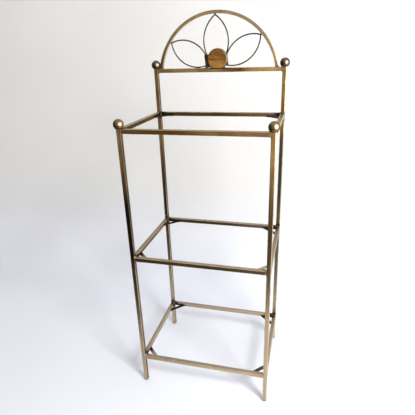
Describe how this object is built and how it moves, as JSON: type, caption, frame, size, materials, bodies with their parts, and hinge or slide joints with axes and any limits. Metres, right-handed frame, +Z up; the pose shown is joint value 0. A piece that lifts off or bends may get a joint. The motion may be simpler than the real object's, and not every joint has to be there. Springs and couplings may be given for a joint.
{
  "type": "etagere",
  "caption": "Open etagere of brazed square brass tube: tiered shelf frames on ball-topped posts, and an arched crest that holds a wire flower behind a disc.",
  "frame": {"origin": "on the floor, midway between the four posts", "axes": "+X to the right as seen from the front, -Y to the front, +Z up"},
  "size_m": [0.435, 0.3334, 1.1591],
  "materials": {
    "post_brass": "aged, lightly polished tube",
    "rail_brass": "aged, lightly polished tube, darker at the brazed ends",
    "arch_brass": "aged, lightly polished tube",
    "brace_brass": "dull flat bar, darkened by the torch at its ends",
    "finial_brass": "polished, with a brown tarnish",
    "disc_brass": "brushed, with a warm tarnish",
    "plate_brass": "unpolished, dark brown",
    "petal_wire": "darkened wire",
    "plug_brass": "machined",
    "stud_steel": "plain",
    "glide_plastic": "dark, matt"
  },
  "bodies": {
    "root": {"back_left_ball_finial": "finial_brass", "back_left_finial_stud": "stud_steel", "back_left_foot_glide": "glide_plastic", "back_left_post": "post_brass", "back_left_post_plug": "plug_brass", "back_right_ball_finial": "finial_brass", "back_right_finial_stud": "stud_steel", "back_right_foot_glide": "glide_plastic", "back_right_post": "post_brass", "back_right_post_plug": "plug_brass", "bottom_back_left_brace": "brace_brass", "bottom_back_rail": "rail_brass", "bottom_back_right_brace": "brace_brass", "bottom_front_left_brace": "brace_brass", "bottom_front_rail": "rail_brass", "bottom_front_right_brace": "brace_brass", "bottom_left_rail": "rail_brass", "bottom_right_rail": "rail_brass", "centre_petal": "petal_wire", "crest_arch": "arch_brass", "crest_rail": "rail_brass", "front_left_ball_finial": "finial_brass", "front_left_finial_stud": "stud_steel", "front_left_foot_glide": "glide_plastic", "front_left_post": "post_brass", "front_left_post_plug": "plug_brass", "front_right_ball_finial": "finial_brass", "front_right_finial_stud": "stud_steel", "front_right_foot_glide": "glide_plastic", "front_right_post": "post_brass", "front_right_post_plug": "plug_brass", "left_petal": "petal_wire", "middle_back_left_brace": "brace_brass", "middle_back_rail": "rail_brass", "middle_back_right_brace": "brace_brass", "middle_front_left_brace": "brace_brass", "middle_front_rail": "rail_brass", "middle_front_right_brace": "brace_brass", "middle_left_rail": "rail_brass", "middle_right_rail": "rail_brass", "right_petal": "petal_wire", "rosette_disc": "disc_brass", "rosette_plate": "plate_brass", "top_back_left_brace": "brace_brass", "top_back_rail": "rail_brass", "top_back_right_brace": "brace_brass", "top_front_left_brace": "brace_brass", "top_front_rail": "rail_brass", "top_front_right_brace": "brace_brass", "top_left_rail": "rail_brass", "top_right_rail": "rail_brass"}
  },
  "joints": []
}
